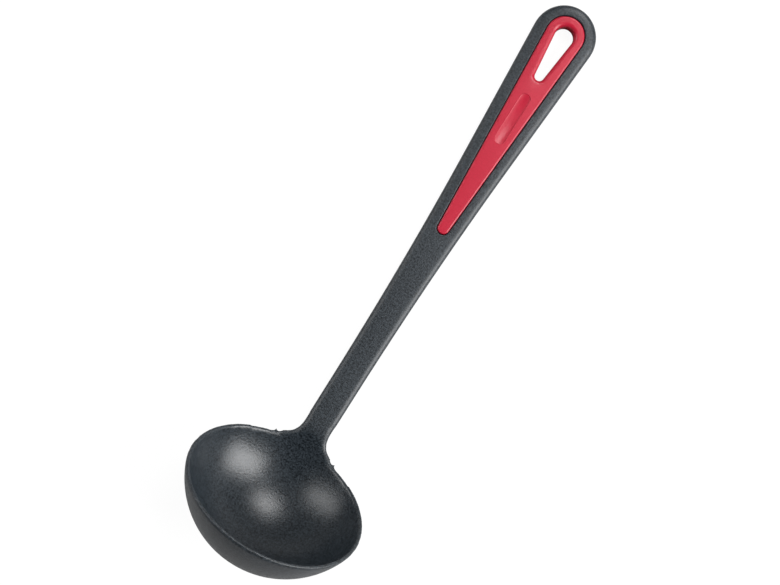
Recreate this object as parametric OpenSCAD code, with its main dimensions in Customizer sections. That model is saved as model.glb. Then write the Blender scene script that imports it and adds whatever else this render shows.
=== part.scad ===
// Soup ladle in two-colour plastic: a one-piece body and a contrasting insert in its handle.
// It lies on a table, +Z up, bowl towards -Y and handle towards +Y, and is symmetric about X = 0.
// The origin is on the table, in the middle of the box round the whole ladle. Millimetres.

/* [Bowl] */
// Outside diameter of the rim
bowl_d = 90; // [84:1:108]
// Outside depth below the rim plane
bowl_depth = 35.2; // [33:0.1:38]
// Wall thickness
bowl_wall = 2; // [1.6:0.1:3]
// Angle between the rim plane and the handle
rim_angle = 54; // [52:1:58]

/* [Handle] */
// Overall length of the ladle as it lies
total_len = 312; // [290:1:375]
// Radius of the round end
end_r = 15.75; // [14.5:0.25:19]
// Width of the slim lower part
neck_w = 14.6; // [12.2:0.2:18]
// Thickness at the neck
neck_t = 5.5; // [4.6:0.1:6.6]
// Thickness of the grip at its far end
grip_t = 8.6; // [7.6:0.1:10.4]
// Angle of each tapering side to the centre line
taper_angle = 3.6; // [2.6:0.1:4]
// Length over which the slim part blends into the taper, as a width
taper_blend = 4; // [2:0.5:5]
// Radius of the crown across the front of the handle
crown_r = 78; // [60:1:110]
// Radius of the two fillets where the neck meets the rim
neck_fillet = 9.5; // [6:0.5:11.5]
// Radius that carries the inside of the bowl over to the front of the neck
lip_r = 14; // [8:1:20]
// Length over which the neck thickens into the grip
thicken_len = 90; // [60:1:110]

/* [Insert] */
// Distance from the end of the handle to the top of the insert
insert_margin = 5.9; // [5:0.1:8]
// Length of the insert
insert_len = 123; // [105:1:150]
// Radius of its round top
insert_top_r = 9.5; // [8.8:0.1:10.6]
// Radius of its round foot
insert_foot_r = 2.9; // [2.8:0.1:4]
// Depth of the pocket below the crown of the handle
pocket_depth = 3; // [2.6:0.1:3.6]
// Height of the insert above the handle's crown
insert_proud = 0.3; // [0.1:0.05:0.5]
// Gap between the insert and the pocket's wall
side_gap = 0.3; // [0.15:0.05:0.4]
// Radius of the pegs under the insert
peg_r = 1.5; // [1.2:0.1:1.8]
// Length of the pegs
peg_len = 2.4; // [1.8:0.1:2.8]
// Radial clearance between a peg and its socket
peg_gap = 0.05; // [0.03:0.01:0.1]
// How many pegs
peg_count = 3; // [2:1:3]

/* [Hanging hole] */
// Distance from the end of the handle to the top of the hole
hole_margin = 10.8; // [10.4:0.1:13]
// Length of the hole
hole_len = 30.2; // [24:0.2:34]
// Radius of its wide top
hole_top_r = 4.8; // [4:0.1:5.2]
// Radius of its narrow foot
hole_foot_r = 2.3; // [2.1:0.1:2.7]
// Radius of the rolled edge round the hole
hole_edge_r = 2; // [1.2:0.1:2.2]
// Wall of the sleeve that lines the hole
sleeve_wall = 1.6; // [1.2:0.1:2]
// Gap between the sleeve and the body, and between its end and the table
sleeve_gap = 0.2; // [0.1:0.05:0.3]

/* [Blank panel] */
// Distance from the end of the handle to the top of the panel
panel_margin = 49.5; // [47:0.5:60]
// Length of the panel
panel_len = 28; // [20:1:30]
// Width of the panel
panel_w = 5.2; // [4:0.1:6]
// Depth of the panel
panel_depth = 0.3; // [0.2:0.05:0.4]

/* [Hidden] */

body_colour = [0.22, 0.24, 0.27];
insert_colour = [0.75, 0.14, 0.24];
cut_over = 5;
arc_steps = 20;
side_steps = 36;

// The bowl is a cap of a sphere that stands on the table.
rim_r = bowl_d / 2;
sphere_r = (rim_r * rim_r + bowl_depth * bowl_depth) / (2 * bowl_depth);
rim_drop = sphere_r - bowl_depth;
inner_r = sphere_r - bowl_wall;
rim_mid_y = -rim_drop * sin(rim_angle);
rim_mid_z = sphere_r - rim_drop * cos(rim_angle);
rim_back_z = rim_mid_z - rim_r * sin(rim_angle);

// The sphere's centre is at Y = 0 until the whole ladle is moved to its origin.
end_y = total_len - sphere_r;
centre_y = (end_y - sphere_r) / 2;
end_centre = end_y - end_r;

// The front of the handle is a straight line from the neck to the end.
root_y = rim_mid_y + rim_r * cos(rim_angle);
neck_front = rim_back_z + neck_t;
front_slope = (grip_t - neck_front) / (end_y - root_y);
front_tilt = atan(front_slope);

// Points on an arc
function arc(x, y, r, from, to, steps = arc_steps) =
    [for (i = [0:steps]) let (a = from + (to - from) * i / steps) [x + r * cos(a), y + r * sin(a)]];

// Outline of two circles on the centre line and the two lines that touch both
function teardrop(foot_y, foot_r, top_y, top_r) =
    let (lean = asin((top_r - foot_r) / (top_y - foot_y)))
    concat(arc(0, top_y, top_r, -lean, 180 + lean), arc(0, foot_y, foot_r, 180 + lean, 360 - lean));

// The larger of two widths, with a soft change from one to the other
function soft_max(a, b, blend) = max(a, b) + pow(max(blend - abs(a - b), 0), 2) / (4 * blend);

// Half the width of the handle at a distance along it
function side_line(y) = end_r / cos(taper_angle) - tan(taper_angle) * (end_centre - y);
function half_width(y) = soft_max(neck_w / 2, side_line(y), taper_blend);

// Where the rim lies in plan, at a distance from the centre line
function rim_plan(x) = rim_mid_y + cos(rim_angle) * sqrt(rim_r * rim_r - x * x);

// Height of the front line and of the back of the neck above the table
function front_z(y) = neck_front + front_slope * (y - root_y);
function ease(t) = let (s = min(max(t, 0), 1)) s * s * (3 - 2 * s);
function back_z(y) = rim_back_z * (1 - ease((y - thicken_start) / thicken_len));

// Right-hand side of the handle's plan, from the middle of the rim to the middle of the end
root_inset = bowl_wall;
rim_to_fillet = 1.5;
fillet_x = neck_w / 2 + neck_fillet;
fillet_y = rim_plan(fillet_x) + neck_fillet + rim_to_fillet;
fillet_centre = half_width(fillet_y) + neck_fillet;
side_end = end_centre - end_r * sin(taper_angle);
plan_right = concat(
    [for (i = [0:6]) let (x = fillet_centre * i / 6) [x, rim_plan(x) - root_inset]],
    arc(fillet_centre, fillet_y, neck_fillet, 270, 180),
    [for (i = [1:side_steps - 1]) let (y = fillet_y + (side_end - fillet_y) * i / side_steps)
        [half_width(y), y]],
    arc(0, end_centre, end_r, -taper_angle, 90)
);
plan_left = [for (i = [len(plan_right) - 2:-1:1]) [-plan_right[i][0], plan_right[i][1]]];

// Side view: the front rolls over from the inside of the bowl, the back fillets into the outside.
front_over = 0.3;
lip_y = sqrt(pow(inner_r + lip_r, 2) - pow(sphere_r - (neck_front + front_over - lip_r), 2));
lip_z = neck_front + front_over - lip_r;
lip_angle = atan2(sphere_r - lip_z, -lip_y);
back_fillet = 15;
under_z = rim_back_z - back_fillet;
under_y = sqrt(pow(sphere_r + back_fillet, 2) - pow(sphere_r - under_z, 2));
under_angle = atan2(sphere_r - under_z, -under_y);
thicken_start = under_y + 4;
root_start = root_y - 3 * bowl_wall;
side_points = concat(
    [[root_start, neck_front]],
    arc(lip_y, lip_z, lip_r, lip_angle, 90),
    [[end_y + cut_over, front_z(end_y + cut_over) + cut_over]],
    [[end_y + cut_over, 0]],
    [for (i = [side_steps:-1:0]) let (y = thicken_start + thicken_len * i / side_steps) [y, back_z(y)]],
    arc(under_y, under_z, back_fillet, 90, under_angle)
);

// Stations of the insert, the hole and the panel, measured down from the end of the handle
insert_top = end_y - insert_margin - insert_top_r;
insert_foot = end_y - insert_margin - insert_len + insert_foot_r;
hole_top = end_y - hole_margin - hole_top_r;
hole_foot = end_y - hole_margin - hole_len + hole_foot_r;
panel_mid = end_y - panel_margin - panel_len / 2;
peg_first = insert_foot + 2 * insert_foot_r;
peg_last = hole_foot - hole_foot_r - sleeve_wall - 3 * peg_r;
peg_step = (peg_last - peg_first) / (peg_count - 1);

// Puts a shape in the handle's own frame: Y along the front line, Z = 0 on the crown
module on_front() {
    translate([0, root_y, neck_front])
        rotate([front_tilt, 0, 0])
            translate([0, -root_y, 0])
                children();
}

// A block with the outline of a teardrop, grown by a margin, between two heights
module drop_block(foot_y, foot_r, top_y, top_r, grow, low, high) {
    translate([0, 0, low])
        linear_extrude(height = high - low)
            polygon(teardrop(foot_y, foot_r + grow, top_y, top_r + grow));
}

module hole_block(grow, low, high) {
    drop_block(hole_foot, hole_foot_r, hole_top, hole_top_r, grow, low, high);
}

// A long round bar whose top is the crown of the handle, raised by a height
module crown_bar(raise) {
    translate([0, root_y - cut_over * 4, -crown_r])
        rotate([-90, 0, 0])
            cylinder(h = total_len, r = crown_r + raise, $fn = 180);
}

// Everything inside the hole's rolled edge, as one closed skin of rings that widen upwards
module hole_tool() {
    rolled = [for (i = [0:8]) let (a = 90 * i / 8)
        [hole_edge_r * (1 - cos(a)), -hole_edge_r * (1 - sin(a))]];
    rings = concat([[0, -grip_t - cut_over]], rolled, [[hole_edge_r, cut_over]]);
    loops = [for (r = rings) teardrop(hole_foot, hole_foot_r + r[0], hole_top, hole_top_r + r[0])];
    n = len(loops[0]);
    points = [for (k = [0:len(rings) - 1]) for (p = loops[k]) [p[0], p[1], rings[k][1]]];
    sides = [for (k = [0:len(rings) - 2]) for (i = [0:n - 1])
        let (j = (i + 1) % n) each [
            [k * n + i, (k + 1) * n + j, k * n + j],
            [k * n + i, (k + 1) * n + i, (k + 1) * n + j]
        ]];
    low_cap = [[for (i = [0:n - 1]) i]];
    high_cap = [[for (i = [n - 1:-1:0]) (len(rings) - 1) * n + i]];
    polyhedron(points = points, faces = concat(sides, low_cap, high_cap));
}

module pegs(grow, low) {
    for (i = [0:peg_count - 1])
        translate([0, peg_first + i * peg_step, low])
            cylinder(h = -pocket_depth - low, r = peg_r + grow, $fn = 48);
}

module handle_solid() {
    intersection() {
        linear_extrude(height = 4 * grip_t, center = true)
            polygon(concat(plan_right, plan_left));
        rotate([90, 0, 90])
            linear_extrude(height = 6 * end_r, center = true)
                polygon(side_points);
        on_front() crown_bar(0);
    }
}

module bowl_cap() {
    translate([0, 0, sphere_r])
        rotate([-rim_angle, 0, 0])
            difference() {
                sphere(r = sphere_r, $fn = 180);
                translate([-2 * rim_r, -2 * rim_r, -rim_drop])
                    cube([4 * rim_r, 4 * rim_r, 3 * rim_r]);
            }
}

module ladle_body() {
    color(body_colour)
        translate([0, -centre_y, 0])
            difference() {
                union() {
                    bowl_cap();
                    handle_solid();
                }
                translate([0, 0, sphere_r]) sphere(r = inner_r, $fn = 180);
                on_front() {
                    drop_block(insert_foot, insert_foot_r, insert_top, insert_top_r, side_gap,
                        -pocket_depth, cut_over);
                    hole_block(sleeve_wall + sleeve_gap, -grip_t - cut_over, cut_over);
                    pegs(peg_gap, -pocket_depth - peg_len - sleeve_gap);
                }
            }
}

module handle_inlay() {
    color(insert_colour)
        translate([0, -centre_y, 0])
            on_front()
                difference() {
                    union() {
                        intersection() {
                            drop_block(insert_foot, insert_foot_r, insert_top, insert_top_r, 0,
                                -pocket_depth, cut_over);
                            crown_bar(insert_proud);
                        }
                        hole_block(sleeve_wall, sleeve_gap - grip_t, -pocket_depth);
                        pegs(0, -pocket_depth - peg_len);
                    }
                    translate([0, 0, insert_proud]) hole_tool();
                    drop_block(panel_mid - (panel_len - panel_w) / 2, panel_w / 2,
                        panel_mid + (panel_len - panel_w) / 2, panel_w / 2, 0,
                        insert_proud - panel_depth, cut_over);
                }
}

ladle_body();
handle_inlay();
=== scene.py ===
# %% [markdown]
# A soup ladle in two plastics, lying on a table. On the real one, bowl, neck and handle are a
# single moulding of dark nylon, and a red insert sits in a pocket of the handle and lines the
# hanging hole. It could be drawn as one solid and painted in two colours, but the seam round the
# insert is a real gap with an edge on each side, so the two pieces are modelled apart. The packed
# model comes in first and stays fixed, and each piece made here stands for one of its nodes.

# %% The frame
import math

import bmesh
import bpy
from mathutils import Matrix, Vector


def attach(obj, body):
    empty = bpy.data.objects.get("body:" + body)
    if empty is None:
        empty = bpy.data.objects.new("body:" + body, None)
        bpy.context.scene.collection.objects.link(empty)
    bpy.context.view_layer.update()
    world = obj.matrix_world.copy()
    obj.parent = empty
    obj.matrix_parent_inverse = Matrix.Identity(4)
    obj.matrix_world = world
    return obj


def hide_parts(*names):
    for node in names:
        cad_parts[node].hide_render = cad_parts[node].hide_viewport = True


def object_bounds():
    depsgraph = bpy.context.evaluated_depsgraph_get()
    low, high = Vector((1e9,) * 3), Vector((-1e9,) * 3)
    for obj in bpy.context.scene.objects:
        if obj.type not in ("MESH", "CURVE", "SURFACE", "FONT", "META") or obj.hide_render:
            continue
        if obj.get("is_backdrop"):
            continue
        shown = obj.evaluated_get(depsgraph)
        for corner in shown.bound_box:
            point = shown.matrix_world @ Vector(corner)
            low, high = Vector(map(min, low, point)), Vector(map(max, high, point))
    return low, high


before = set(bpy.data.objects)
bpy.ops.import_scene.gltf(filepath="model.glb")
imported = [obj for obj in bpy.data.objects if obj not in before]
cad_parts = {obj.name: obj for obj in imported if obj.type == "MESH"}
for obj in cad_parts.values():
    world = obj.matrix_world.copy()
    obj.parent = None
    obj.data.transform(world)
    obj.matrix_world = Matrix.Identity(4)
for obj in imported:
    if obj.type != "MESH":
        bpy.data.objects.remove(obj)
cad_low, cad_high = (list(corner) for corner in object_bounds())
print("nodes", sorted(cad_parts))
print("model box", cad_low, cad_high)

# %% [markdown]
# Sizes are written in millimetres, as on a drawing, with the centre of the bowl's sphere over
# Y = 0 and +Y along the handle. Blender works in metres and the model has an origin of its own,
# so one matrix brings each mesh from the drawing to the frame. The length isn't repeated here: the
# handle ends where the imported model's box ends. All other places follow from the bowl, which is a
# cap of a sphere, so its radius comes from the width of the rim and the depth below it.

# %% Sizes of the bowl and places along the ladle
MM = 0.001
RIM_R = 45.0
BOWL_DEPTH = 35.2
BOWL_WALL = 2.0
RIM_ANGLE = math.radians(54)

SPHERE_R = (RIM_R ** 2 + BOWL_DEPTH ** 2) / (2 * BOWL_DEPTH)
INNER_R = SPHERE_R - BOWL_WALL
RIM_DROP = SPHERE_R - BOWL_DEPTH
RIM_MID_Y = -RIM_DROP * math.sin(RIM_ANGLE)
RIM_BACK_Y = RIM_MID_Y + RIM_R * math.cos(RIM_ANGLE)
RIM_BACK_Z = SPHERE_R - RIM_DROP * math.cos(RIM_ANGLE) - RIM_R * math.sin(RIM_ANGLE)
END_Y = (cad_high[1] - cad_low[1]) / MM - SPHERE_R
CENTRE_Y = (END_Y - SPHERE_R) / 2
TO_FRAME = Matrix.Scale(MM, 4) @ Matrix.Translation((0, -CENTRE_Y, 0))
print("sphere radius", round(SPHERE_R, 2), "mm, handle ends at", round(END_Y, 2), "mm")

# %% [markdown]
# The bowl is a thin shell with a round rim. A sphere could be cut by a plane and given a wall by
# Solidify, but that leaves the rim square. Here the section is drawn instead, by one vertex that
# is swung three times: about the sphere's centre for the outside, half a turn about the middle of
# the wall for the rim, and back about the centre for the inside. One full spin of that section
# closes the shell, and the whole bowl is then tilted as it lies.


# %% The bowl
def bowl_shell(wall_steps=44, rim_steps=10, spin_steps=180):
    bm = bmesh.new()
    mid_r = SPHERE_R - BOWL_WALL / 2
    rim_turn = math.acos(RIM_DROP / SPHERE_R) - math.asin(BOWL_WALL / 2 / mid_r)
    sphere_centre = Vector((0, 0, 0))
    rim_centre = Vector((0, mid_r * math.sin(rim_turn), -mid_r * math.cos(rim_turn)))
    swings = (
        (sphere_centre, rim_turn, wall_steps),
        (rim_centre, math.pi, rim_steps),
        (sphere_centre, -rim_turn, wall_steps),
    )
    last = bm.verts.new((0, 0, -SPHERE_R))
    for centre, turn, steps in swings:
        spun = bmesh.ops.spin(bm, geom=[last], cent=centre, axis=(1, 0, 0), angle=turn, steps=steps)
        last = [item for item in spun["geom_last"] if isinstance(item, bmesh.types.BMVert)][0]
    bmesh.ops.spin(bm, geom=bm.verts[:] + bm.edges[:], cent=(0, 0, 0), axis=(0, 0, 1),
                   angle=2 * math.pi, steps=spin_steps, use_merge=True)
    bmesh.ops.remove_doubles(bm, verts=bm.verts, dist=0.01)
    bmesh.ops.recalc_face_normals(bm, faces=bm.faces)
    place = Matrix.Translation((0, 0, SPHERE_R)) @ Matrix.Rotation(-RIM_ANGLE, 4, "X")
    bmesh.ops.transform(bm, matrix=place, verts=bm.verts)
    return bm


shell = bowl_shell()
print("bowl faces", len(shell.faces))

# %% [markdown]
# Seen from above, each side of the handle is a straight taper that fades into a slim lower part,
# and the neck opens out to the rim in a fillet. Two lines that meet leave a corner, and a curve
# through chosen points is hard to adjust, so the half width is a function of the distance along
# the handle: the larger of two widths, with a soft change between them, plus the fillet.


# %% The handle from above
END_R = 15.75
NECK_HALF = 7.3
TAPER = math.radians(3.6)
TAPER_BLEND = 4.0
NECK_FILLET = 9.5
RIM_TO_FILLET = 1.5

END_CENTRE = END_Y - END_R
FILLET_X = NECK_HALF + NECK_FILLET
RIM_PLAN_Y = RIM_MID_Y + math.cos(RIM_ANGLE) * math.sqrt(RIM_R ** 2 - FILLET_X ** 2)
FILLET_Y = RIM_PLAN_Y + NECK_FILLET + RIM_TO_FILLET


def soft_max(a, b, blend):
    return max(a, b) + max(blend - abs(a - b), 0) ** 2 / (4 * blend)


def half_width(y):
    side = END_R / math.cos(TAPER) - math.tan(TAPER) * (END_CENTRE - y)
    width = soft_max(NECK_HALF, side, TAPER_BLEND)
    if y < FILLET_Y:
        drop = min(FILLET_Y - y, NECK_FILLET)
        width += NECK_FILLET - math.sqrt(NECK_FILLET ** 2 - drop ** 2)
    return width


print("half widths", [round(half_width(y), 2) for y in (FILLET_Y, END_CENTRE / 2, END_CENTRE)])

# %% [markdown]
# Seen from the side, the front of the handle is straight and slightly crowned across, and rolls
# over a soft lip into the hollow of the bowl. The back leaves the bowl in a fillet and then comes
# down to the table as the grip gets thicker. Both are functions of x and y again. The lip and the
# fillet stop where their arcs touch the sphere, because a height isn't defined past that point.


# %% The handle from the side
NECK_T = 5.5
GRIP_T = 8.6
CROWN_R = 78.0
LIP_R = 14.0
BACK_FILLET = 15.0
LEVEL_LEN = 4.0
THICKEN_LEN = 90.0
ROUND_BACK_LEN = 14.0

FRONT_Z = RIM_BACK_Z + NECK_T
FRONT_SLOPE = (GRIP_T - FRONT_Z) / (END_Y - RIM_BACK_Y)
LIP_Z = FRONT_Z - LIP_R
LIP_Y = math.sqrt((INNER_R + LIP_R) ** 2 - (SPHERE_R - LIP_Z) ** 2)
LIP_START = LIP_Y * INNER_R / (INNER_R + LIP_R)
UNDER_Z = RIM_BACK_Z - BACK_FILLET
UNDER_Y = math.sqrt((SPHERE_R + BACK_FILLET) ** 2 - (SPHERE_R - UNDER_Z) ** 2)
UNDER_START = UNDER_Y * SPHERE_R / (SPHERE_R + BACK_FILLET)


def ease(t):
    t = min(max(t, 0.0), 1.0)
    return t * t * (3 - 2 * t)


def front_height(x, y):
    line = FRONT_Z + FRONT_SLOPE * (y - RIM_BACK_Y)
    if y < LIP_Y:
        line += math.sqrt(LIP_R ** 2 - (LIP_Y - max(y, LIP_START)) ** 2) - LIP_R
    return line - x * x / (2 * CROWN_R)


def ball_height(x, y):
    return SPHERE_R - math.sqrt(SPHERE_R ** 2 - x * x - y * y)


def back_height(x, y):
    if y < UNDER_Y:
        line = UNDER_Z + math.sqrt(BACK_FILLET ** 2 - (UNDER_Y - max(y, UNDER_START)) ** 2)
    else:
        line = RIM_BACK_Z * (1 - ease((y - UNDER_Y - LEVEL_LEN) / THICKEN_LEN))
    near_bowl = 1 - ease((y - RIM_BACK_Y) / ROUND_BACK_LEN)
    if near_bowl > 0:
        line += near_bowl * (ball_height(x, y) - ball_height(0, y))
    return line


print("thickness", [round(front_height(0, y) - back_height(0, y), 2) for y in (UNDER_Y, END_CENTRE)])

# %% [markdown]
# A moulded handle has no sharp edge. Bevel works on a clean box, but here the front and the back
# both curve, so the handle is a stack of rings: one ring is extruded again and again, and each new
# ring is moved to its place. Where the rings turn the edge, their steps follow a quarter circle,
# and in the middle of each face they shrink to a narrow one. The same stacking routine makes the
# insert later. It counts the points of the first ring in a layer, which every new ring copies.


# %% A stack of rings
def ring_stack(points, rings, place):
    """Extrudes a closed ring through a list of rings, each point moved by place(step, ring)."""
    bm = bmesh.new()
    bmesh.ops.create_circle(bm, cap_ends=False, segments=points, radius=1)
    count = bm.verts.layers.int.new("count")
    bm.verts.ensure_lookup_table()
    for step, vert in enumerate(bm.verts):
        vert[count] = step
        vert.co = place(step, rings[0])
    first = bm.edges[:]
    edges = first
    for ring in rings[1:]:
        grown = bmesh.ops.extrude_edge_only(bm, edges=edges)["geom"]
        for item in grown:
            if isinstance(item, bmesh.types.BMVert):
                item.co = place(item[count], ring)
        edges = [item for item in grown if isinstance(item, bmesh.types.BMEdge)]
    return bm, first, edges


def close_ends(bm, first, last):
    bmesh.ops.contextual_create(bm, geom=first)
    bmesh.ops.contextual_create(bm, geom=last)


# %% The handle
EDGE_R = 2.4
EDGE_STEPS = 6
FACE_SHARES = (0.05, 0.3, 0.55, 0.75, 0.9)
SIDE_STEPS = 90
END_STEPS = 14
HALF_STEPS = SIDE_STEPS + END_STEPS
ROOT_Y = 9.0
ROOT_SLANT = 6.0
FREE_ROOM = 0.98


def quarter_turn(steps):
    return [math.radians(90 * i / steps) for i in range(steps + 1)]


def plan_point(step, inset, share):
    """A point of the outline, drawn in by an inset and then to a share of its width."""
    turn = step if step <= HALF_STEPS else 2 * HALF_STEPS - step
    sign = 1 if step <= HALF_STEPS else -1
    side_end = END_CENTRE - END_R * math.sin(TAPER)
    if turn < SIDE_STEPS:
        start = ROOT_Y + inset + ROOT_SLANT * (1 - share)
        y = start + (side_end - start) * turn / SIDE_STEPS
        return sign * (half_width(y) - inset) * share, y
    angle = -TAPER + (math.pi / 2 + TAPER) * (turn - SIDE_STEPS) / END_STEPS
    radius = (END_R - inset) * share
    return sign * radius * math.cos(angle), END_CENTRE + radius * math.sin(angle)


def handle_place(step, ring):
    """Puts a ring's point at its height: lift is the rise of the rounded edge off its own face."""
    face, inset, share, lift = ring
    x, y = plan_point(step, inset, share)
    room = (front_height(x, y) - back_height(x, y)) / 2
    lift = math.copysign(min(abs(lift), FREE_ROOM * room * abs(lift) / EDGE_R), lift)
    height = back_height(x, y) if face == "back" else front_height(x, y)
    return Vector((x, y, height + lift))


def handle_solid():
    arc = quarter_turn(EDGE_STEPS)
    rings = [("back", EDGE_R, share, 0) for share in FACE_SHARES]
    rings += [("back", EDGE_R * (1 - math.sin(a)), 1, EDGE_R * (1 - math.cos(a))) for a in arc]
    rings += [("front", EDGE_R * (1 - math.cos(a)), 1, -EDGE_R * (1 - math.sin(a))) for a in arc]
    rings += [("front", EDGE_R, share, 0) for share in reversed(FACE_SHARES)]
    bm, first, last = ring_stack(2 * HALF_STEPS + 1, rings, handle_place)
    close_ends(bm, first, last)
    bmesh.ops.triangulate(bm, faces=[face for face in bm.faces if len(face.verts) > 4])
    bmesh.ops.recalc_face_normals(bm, faces=bm.faces)
    return bm


# %% [markdown]
# Bowl and handle are one moulding, so no seam may show where they meet. A Boolean union keeps a
# crease there, so both are fused by a voxel remesh, which also blends the neck into the rim, and a
# few rounds of smoothing take away the steps that the voxels leave. The neck must not stick out
# into the bowl, so a ball the size of the hollow is cut out of the handle first.


# %% Helpers for meshes
def add_object(name, bm):
    mesh = bpy.data.meshes.new(name)
    bm.to_mesh(mesh)
    bm.free()
    obj = bpy.data.objects.new(name, mesh)
    bpy.context.scene.collection.objects.link(obj)
    return obj


def run_modifiers(obj):
    bpy.context.view_layer.update()
    graph = bpy.context.evaluated_depsgraph_get()
    mesh = bpy.data.meshes.new_from_object(obj.evaluated_get(graph))
    obj.modifiers.clear()
    obj.data = mesh
    return obj


def fuse(obj, voxel):
    modifier = obj.modifiers.new("fuse", "REMESH")
    modifier.mode = "VOXEL"
    modifier.voxel_size = voxel
    return run_modifiers(obj)


def cut(obj, tool):
    modifier = obj.modifiers.new("cut", "BOOLEAN")
    modifier.operation = "DIFFERENCE"
    modifier.solver = "EXACT"
    modifier.object = tool
    run_modifiers(obj)
    bpy.data.objects.remove(tool)
    return obj


# %% One moulding
VOXEL = 0.62
HOLLOW_SLACK = 0.05


def hollow_ball(radius, steps=160):
    bm = bmesh.new()
    bmesh.ops.create_uvsphere(bm, u_segments=steps, v_segments=steps // 2, radius=radius)
    bmesh.ops.translate(bm, vec=(0, 0, SPHERE_R), verts=bm.verts)
    return bm


handle = fuse(add_object("handle_rough", handle_solid()), VOXEL)
cut(handle, add_object("hollow", hollow_ball(INNER_R + HOLLOW_SLACK)))
print("handle faces outside the hollow", len(handle.data.polygons))
shell.from_mesh(handle.data)
bmesh.ops.transform(shell, matrix=TO_FRAME, verts=shell.verts)
bpy.data.objects.remove(handle)
body = fuse(add_object("body_shell", shell), VOXEL * MM)

# %% [markdown]
# Smoothing moves each vertex halfway to the middle of its neighbours. Six rounds clear the steps
# of the voxels all over, and the neck gets more, because the fillets there are tight.

# %% Smoothing
ALL_ROUNDS = 6
NECK_ROUNDS = 14
NECK_REACH = 14 * MM
NECK_HEIGHT = 12 * MM
NECK_Y = (RIM_BACK_Y - CENTRE_Y) * MM


def smooth(bm, verts, rounds):
    for _ in range(rounds):
        bmesh.ops.smooth_vert(bm, verts=verts, factor=0.5, use_axis_x=True, use_axis_y=True,
                              use_axis_z=True)


bm = bmesh.new()
bm.from_mesh(body.data)
neck = [v for v in bm.verts if abs(v.co.y - NECK_Y) < NECK_REACH and v.co.z < NECK_HEIGHT]
print("vertices at the neck", len(neck))
smooth(bm, bm.verts, ALL_ROUNDS)
smooth(bm, neck, NECK_ROUNDS)
bm.to_mesh(body.data)
bm.free()
print("body faces", len(body.data.polygons))

# %% [markdown]
# The insert, the pocket round it and the hanging hole all have the outline of a drop: two circles
# on the middle of the handle, and the two lines that touch both. One routine draws a point of such
# an outline, grown by any margin, so the seam between pocket and insert is even all round. Each
# drop is given by its two circles, as the place and the radius of each.

# %% The outlines of the drops
INSERT_MARGIN = 5.9
INSERT_LEN = 123
INSERT_TOP_R = 9.5
INSERT_FOOT_R = 2.9
HOLE_MARGIN = 10.8
HOLE_LEN = 30.2
HOLE_TOP_R = 4.8
HOLE_FOOT_R = 2.3
DROP_STEPS = 128
SIDE_SHARE = 0.18


def drop_circles(margin, length, foot_r, top_r):
    """The foot and the top circle of a drop that starts a margin below the end of the handle."""
    return (END_Y - margin - length + foot_r, foot_r), (END_Y - margin - top_r, top_r)


INSERT_FOOT, INSERT_TOP = drop_circles(INSERT_MARGIN, INSERT_LEN, INSERT_FOOT_R, INSERT_TOP_R)
HOLE_FOOT, HOLE_TOP = drop_circles(HOLE_MARGIN, HOLE_LEN, HOLE_FOOT_R, HOLE_TOP_R)
print("insert reaches from", round(INSERT_FOOT[0] - INSERT_FOOT_R, 1), "to",
      round(INSERT_TOP[0] + INSERT_TOP_R, 1), "mm along the handle")


def drop_point(step, foot, top, grow):
    """A point of a drop, counted from the right end of the top arc, round the top and the foot."""
    foot_y, foot_r = foot[0], foot[1] + grow
    top_y, top_r = top[0], top[1] + grow
    lean = math.asin((top_r - foot_r) / (top_y - foot_y))
    arc_share = 0.5 - SIDE_SHARE
    turn = step / DROP_STEPS
    if turn < arc_share:
        angle = -lean + (math.pi + 2 * lean) * turn / arc_share
        return top_r * math.cos(angle), top_y + top_r * math.sin(angle)
    left = math.pi + lean
    start = Vector((top_r * math.cos(left), top_y + top_r * math.sin(left)))
    stop = Vector((foot_r * math.cos(left), foot_y + foot_r * math.sin(left)))
    if turn < 0.5:
        return tuple(start.lerp(stop, (turn - 0.5 + SIDE_SHARE) / SIDE_SHARE))
    if turn < 1 - SIDE_SHARE:
        angle = left + (math.pi - 2 * lean) * (turn - 0.5) / arc_share
        return foot_r * math.cos(angle), foot_y + foot_r * math.sin(angle)
    back = stop.lerp(start, (turn - 1 + SIDE_SHARE) / SIDE_SHARE)
    return -back.x, back.y


def drop_place(step, ring):
    """A ring is its two circles, how far it is grown, and its height over the front."""
    foot, top, grow, height = ring
    x, y = drop_point(step, foot, top, grow)
    return Vector((x, y, front_height(x, y) + height))


# %% [markdown]
# The pocket is 3 mm deep, and its edge is slightly broken, as the edge of a moulding is. That thin
# chamfer is what makes the seam readable. It could be bevelled after the cut, but the cut edge is
# made of voxel faces of all sizes, so the chamfer is a flare of the cutting tool instead. Where the
# insert lines the hanging hole, a second tool opens the handle for its sleeve.

# %% The pocket and the hole
POCKET_DEPTH = 3.0
SEAM = 0.35
POCKET_CHAMFER = 0.45
SLEEVE_WALL = 1.6
SLEEVE_GAP = 0.2


def drop_solid(rings):
    bm, first, last = ring_stack(DROP_STEPS, rings, drop_place)
    close_ends(bm, first, last)
    bmesh.ops.recalc_face_normals(bm, faces=bm.faces)
    bmesh.ops.transform(bm, matrix=TO_FRAME, verts=bm.verts)
    return bm


def pocket_tool():
    profile = (
        (SEAM, -POCKET_DEPTH),
        (SEAM, -POCKET_CHAMFER),
        (SEAM + 0.3 * POCKET_CHAMFER, -0.4 * POCKET_CHAMFER),
        (SEAM + POCKET_CHAMFER, 0.05),
        (SEAM + 3 * POCKET_CHAMFER, 1.5),
    )
    return drop_solid([(INSERT_FOOT, INSERT_TOP, grow, height) for grow, height in profile])


def sleeve_tool():
    below, in_pocket = -20, -1
    grow = SLEEVE_WALL + SLEEVE_GAP
    return drop_solid([(HOLE_FOOT, HOLE_TOP, grow, height) for height in (below, in_pocket)])


cut(body, add_object("pocket_tool", pocket_tool()))
cut(body, add_object("sleeve_tool", sleeve_tool()))
print("body faces with the pocket", len(body.data.polygons))

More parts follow.
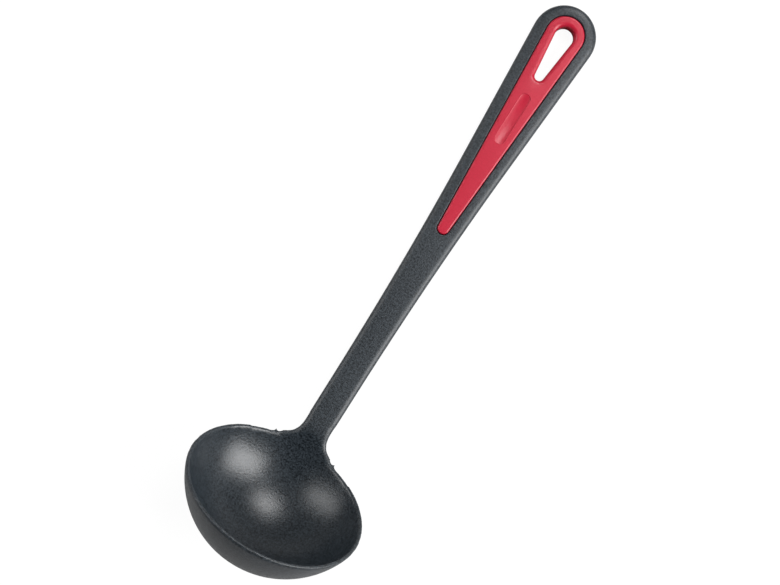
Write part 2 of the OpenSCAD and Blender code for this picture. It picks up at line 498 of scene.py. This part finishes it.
# %% [markdown]
# The insert is one more stack of rings. It starts at the floor of the pocket, goes up the wall,
# turns its outer edge, crosses the face while the outline of the insert fades into the outline of
# the hole, rolls over into the hole, and comes back up outside the sleeve. A flat plate with a
# bevelled hole would not give that wide roll, which catches most of the light on the real insert.
# The first and the last ring are bridged, so the piece is closed.


# %% The insert
PROUD = 0.3
INSERT_EDGE_R = 0.8
HOLE_EDGE_R = 2.0
ARC_STEPS = 8
FACE_STEPS = 15
FLOOR_GAP = 0.05
SLEEVE_CHAMFER = 0.3


def fade(a, b, t):
    return tuple(p + (q - p) * t for p, q in zip(a, b))


def face_ring(t):
    """A ring of the insert's face, from its outer edge at 0 to the edge of the hole at 1."""
    foot_r = INSERT_FOOT[1] - INSERT_EDGE_R
    top_r = INSERT_TOP[1] - INSERT_EDGE_R
    foot = fade((INSERT_FOOT[0], foot_r), (HOLE_FOOT[0], HOLE_FOOT[1] + HOLE_EDGE_R), t)
    top = fade((INSERT_TOP[0], top_r), (HOLE_TOP[0], HOLE_TOP[1] + HOLE_EDGE_R), t)
    return foot, top, 0, PROUD


def insert_piece():
    arc = quarter_turn(ARC_STEPS)
    floor_height = -POCKET_DEPTH + FLOOR_GAP
    sleeve_end = -GRIP_T + SLEEVE_GAP
    wall = [(0, floor_height)]
    wall += [(-INSERT_EDGE_R * (1 - math.cos(a)), PROUD - INSERT_EDGE_R * (1 - math.sin(a)))
             for a in arc]
    sleeve = [(HOLE_EDGE_R * (1 - math.sin(a)), PROUD - HOLE_EDGE_R * (1 - math.cos(a))) for a in arc]
    sleeve += [(0, sleeve_end + SLEEVE_CHAMFER), (SLEEVE_CHAMFER, sleeve_end)]
    sleeve += [(SLEEVE_WALL, sleeve_end), (SLEEVE_WALL, floor_height)]
    rings = [(INSERT_FOOT, INSERT_TOP, grow, height) for grow, height in wall]
    rings += [face_ring(i / FACE_STEPS) for i in range(1, FACE_STEPS)]
    rings += [(HOLE_FOOT, HOLE_TOP, grow, height) for grow, height in sleeve]
    bm, first, last = ring_stack(DROP_STEPS, rings, drop_place)
    bmesh.ops.bridge_loops(bm, edges=first + last)
    bmesh.ops.recalc_face_normals(bm, faces=bm.faces)
    bmesh.ops.transform(bm, matrix=TO_FRAME, verts=bm.verts)
    return bm


# %% [markdown]
# Below the hole, the insert has a shallow long panel with round ends, left blank. A bump in the
# material would vanish in the mesh that is exported, so the panel is cut, by one more drop whose
# two circles are almost equal. Its floor and its upper edge are drawn in and out a little, which
# keeps the corners soft.

# %% The blank panel
PANEL_MARGIN = 49.5
PANEL_LEN = 28
PANEL_HALF = 2.6
PANEL_NARROWS = 0.01
PANEL_DEPTH = 0.3

PANEL_LOW = (END_Y - PANEL_MARGIN - PANEL_LEN + PANEL_HALF, PANEL_HALF)
PANEL_HIGH = (END_Y - PANEL_MARGIN - PANEL_HALF, PANEL_HALF - PANEL_NARROWS)


def panel_tool():
    profile = ((-0.2, -PANEL_DEPTH), (0, -0.2), (0, -0.1), (0.3, 0.4))
    return drop_solid([(PANEL_LOW, PANEL_HIGH, grow, PROUD + height) for grow, height in profile])


insert = add_object("insert_piece", insert_piece())
cut(insert, add_object("panel_tool", panel_tool()))
print("insert faces", len(insert.data.polygons))

# %% [markdown]
# The finishes are sums of noises. Wiring Math nodes by hand is slow to read, so one small class
# wraps a socket, and plain Python sums on it add the nodes. A comparison gives a mask of 0 or 1.
# Any other node comes from one function, which takes its type, its settings and its inputs.


# %% A small class for shader sums
class Socket:
    def __init__(self, tree, link):
        self.tree = tree
        self.link = link

    def math_node(self, operation, first, second):
        return node(self.tree, "ShaderNodeMath", {"operation": operation}, {0: first, 1: second})

    def __add__(self, other):
        return self.math_node("ADD", self, other)

    def __sub__(self, other):
        return self.math_node("SUBTRACT", self, other)

    def __rsub__(self, other):
        return self.math_node("SUBTRACT", other, self)

    def __mul__(self, other):
        return self.math_node("MULTIPLY", self, other)

    def __lt__(self, other):
        return self.math_node("LESS_THAN", self, other)

    __radd__ = __add__
    __rmul__ = __mul__


def node(tree, kind, settings, inputs, output=0):
    made = tree.nodes.new(kind)
    for name, value in settings.items():
        setattr(made, name, value)
    for name, value in inputs.items():
        if isinstance(value, Socket):
            tree.links.new(value.link, made.inputs[name])
        else:
            made.inputs[name].default_value = value
    return Socket(tree, made.outputs[output])


# %% [markdown]
# Both plastics carry the fine grain of the mould. An image of it would need a flat map of each
# piece, so it is noise on Object coordinates, in metres: about a millimetre from speck to speck, in
# the colour, the roughness and the bump at once. A second, slow noise keeps large areas from
# looking even. In the hollow of the bowl the roughness drops, which narrows the highlights there
# and leaves the rest darker. A mask finds the hollow by its distance from the sphere's centre.


# %% Grained plastic
GRAIN_ROUGHNESS = 0.16
CLOUD_ROUGHNESS = 0.06
CLOUD_COLOUR = 0.2
CLOUD_SCALE = 60.0
POLISH = 0.13
POLISH_REACH = 0.4


def plastic(name, dark, light, rough, grain_scale, contrast, bump):
    """Colour runs from dark to light with the grain. Bump is the height of the grain in metres."""
    material = bpy.data.materials.new(name)
    material.use_nodes = True
    tree = material.node_tree
    shader = tree.nodes["Principled BSDF"]
    place = node(tree, "ShaderNodeTexCoord", {}, {}, "Object")
    grain = node(tree, "ShaderNodeTexNoise", {},
                 {"Vector": place, "Scale": grain_scale, "Detail": 3.0, "Roughness": 0.6})
    cloud = node(tree, "ShaderNodeTexNoise", {},
                 {"Vector": place, "Scale": CLOUD_SCALE, "Detail": 2.0})
    speckle = (grain - 0.5) * contrast + cloud * CLOUD_COLOUR + (1 - CLOUD_COLOUR) / 2
    colour = node(tree, "ShaderNodeMix", {"data_type": "RGBA"},
                  {"Factor": speckle, "A": dark, "B": light}, 2)
    tree.links.new(colour.link, shader.inputs["Base Color"])
    middle = (0, -CENTRE_Y * MM, SPHERE_R * MM)
    reach = node(tree, "ShaderNodeVectorMath", {"operation": "DISTANCE"}, {0: place, 1: middle}, 1)
    inside = reach < (INNER_R + POLISH_REACH) * MM
    middle_rough = rough - (GRAIN_ROUGHNESS + CLOUD_ROUGHNESS) / 2
    roughness = grain * GRAIN_ROUGHNESS + cloud * CLOUD_ROUGHNESS - inside * POLISH + middle_rough
    tree.links.new(roughness.link, shader.inputs["Roughness"])
    lift = node(tree, "ShaderNodeBump", {}, {"Height": grain, "Strength": 1.0, "Distance": bump})
    tree.links.new(lift.link, shader.inputs["Normal"])
    return material


nylon = plastic("grained_nylon", dark=(0.003, 0.005, 0.007, 1), light=(0.030, 0.038, 0.046, 1),
                rough=0.44, grain_scale=1150.0, contrast=3.5, bump=0.00009)
red = plastic("satin_red", dark=(0.32, 0.004, 0.018, 1), light=(0.46, 0.010, 0.036, 1),
              rough=0.38, grain_scale=1100.0, contrast=1.0, bump=0.00002)
print("materials", nylon.name, red.name)

# %% [markdown]
# Each piece gets its finish, its shading and its place in the frame. Smooth shading alone would
# smear the edges of the pocket and of the insert, so edges above an angle stay sharp. Both pieces
# ride on the one body that the model has, and each stands for its node.


# %% Dressing the pieces
def dress(obj, material, cad_node, sharp_angle):
    obj.data.materials.clear()
    obj.data.materials.append(material)
    for face in obj.data.polygons:
        face.use_smooth = True
        face.material_index = 0
    obj.data.set_sharp_from_angle(angle=math.radians(sharp_angle))
    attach(obj, "root")
    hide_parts(cad_node)


dress(body, nylon, "ladle_body", sharp_angle=40)
dress(insert, red, "handle_inlay", sharp_angle=50)
print("pieces", body.name, insert.name)

# %% [markdown]
# The ladle lies on a pale floor. More light would turn the floor white, but the plastic with it,
# so the floor glows white to the camera only, through the Is Camera Ray output. Part of it stays
# a matte surface, which keeps the soft shadow.

# %% The floor
FLOOR_HALF = 4
FLOOR_GREY = 0.55
GLOW = 1.1
GLOW_SHARE = 0.86


def floor_material():
    material = bpy.data.materials.new("pale_floor")
    material.use_nodes = True
    tree = material.node_tree
    tree.nodes.clear()
    ray = node(tree, "ShaderNodeLightPath", {}, {}, "Is Camera Ray")
    matte = node(tree, "ShaderNodeBsdfDiffuse", {}, {"Color": (FLOOR_GREY, FLOOR_GREY, FLOOR_GREY, 1)})
    glow = node(tree, "ShaderNodeEmission", {}, {"Color": (1, 1, 1, 1), "Strength": GLOW})
    mix = node(tree, "ShaderNodeMixShader", {}, {0: ray * GLOW_SHARE, 1: matte, 2: glow})
    out = tree.nodes.new("ShaderNodeOutputMaterial")
    tree.links.new(mix.link, out.inputs["Surface"])
    return material


bm = bmesh.new()
bmesh.ops.create_grid(bm, x_segments=1, y_segments=1, size=FLOOR_HALF)
floor = add_object("floor", bm)
floor.data.materials.append(floor_material())
floor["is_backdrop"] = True
print("floor is", 2 * FLOOR_HALF, "metres wide")

# %% [markdown]
# Three soft boxes light the ladle. A lamp on one side gives one bright patch in the bowl, on the
# opposite wall, and a bright line along the edge of the handle that faces it, so the right box is
# the strong one and the left box only fills. The third stands past the end of the handle.


# %% The lamps
def lamp(name, place, aim, size, power):
    data = bpy.data.lights.new(name, "AREA")
    data.shape = "RECTANGLE"
    data.size, data.size_y = size
    data.energy = power
    obj = bpy.data.objects.new(name, data)
    bpy.context.scene.collection.objects.link(obj)
    obj.location = place
    obj.rotation_euler = (Vector(aim) - Vector(place)).to_track_quat("-Z", "Y").to_euler()


lamp("right_box", place=(1.1, 0.1, 0.75), aim=(0, 0, 0), size=(0.6, 1.2), power=25)
lamp("left_box", place=(-1.2, -0.1, 0.9), aim=(0, 0, 0), size=(0.5, 1.2), power=10)
lamp("end_box", place=(0.1, 1.0, 1.3), aim=(0, 0.1, 0), size=(0.8, 0.6), power=16)
print("lamps", [light.name for light in bpy.data.lights])

# %% [markdown]
# An even sky lights every side alike and flattens the handle. Here it is nearly dark overhead,
# where the flat front and the bottom of the bowl look, and bright near the horizon, where the
# rounded edges look.

# %% The sky
SKY_HORIZON = 0.35
SKY_OVERHEAD = 0.04

world = bpy.data.worlds.new("studio")
bpy.context.scene.world = world
world.use_nodes = True
sky = world.node_tree.nodes["Background"]
sky.inputs["Color"].default_value = (0.97, 0.99, 1, 1)
direction = node(world.node_tree, "ShaderNodeTexCoord", {}, {}, "Generated")
rise = node(world.node_tree, "ShaderNodeSeparateXYZ", {}, {"Vector": direction}, "Z")
lowness = 1 - rise
strength = lowness * lowness * SKY_HORIZON + SKY_OVERHEAD
world.node_tree.links.new(strength.link, sky.inputs["Strength"])
print("sky strength", SKY_OVERHEAD, "overhead and", round(SKY_HORIZON + SKY_OVERHEAD, 2), "at the horizon")

# %% [markdown]
# The camera looks almost straight down from over the bowl, as in the photograph, so the round rim
# shows as an ellipse and the handle stretches away to the upper right. The lens is set from the
# focal length in pixels of a picture of this width, and the roll turns the handle to its slant.

# %% The camera
PHOTO_W = 780
FOCAL_PX = 2187
ROLL = math.radians(32.21)
EYE = Vector((0.0004, -0.0881, 1.05))
AIM = Vector((-0.0052, -0.0098, 0.008))

camera_data = bpy.data.cameras.new("camera")
camera_data.sensor_width = 36
camera_data.lens = camera_data.sensor_width * FOCAL_PX / PHOTO_W
camera = bpy.data.objects.new("camera", camera_data)
bpy.context.scene.collection.objects.link(camera)
back = (EYE - AIM).normalized()
tilted_up = Vector((-math.sin(ROLL), math.cos(ROLL), 0))
right = tilted_up.cross(back).normalized()
up = back.cross(right)
camera.matrix_world = Matrix.Translation(EYE) @ Matrix((right, up, back)).transposed().to_4x4()
bpy.context.scene.camera = camera
bpy.context.scene.view_settings.view_transform = "Standard"
print("lens", round(camera_data.lens, 1), "mm")
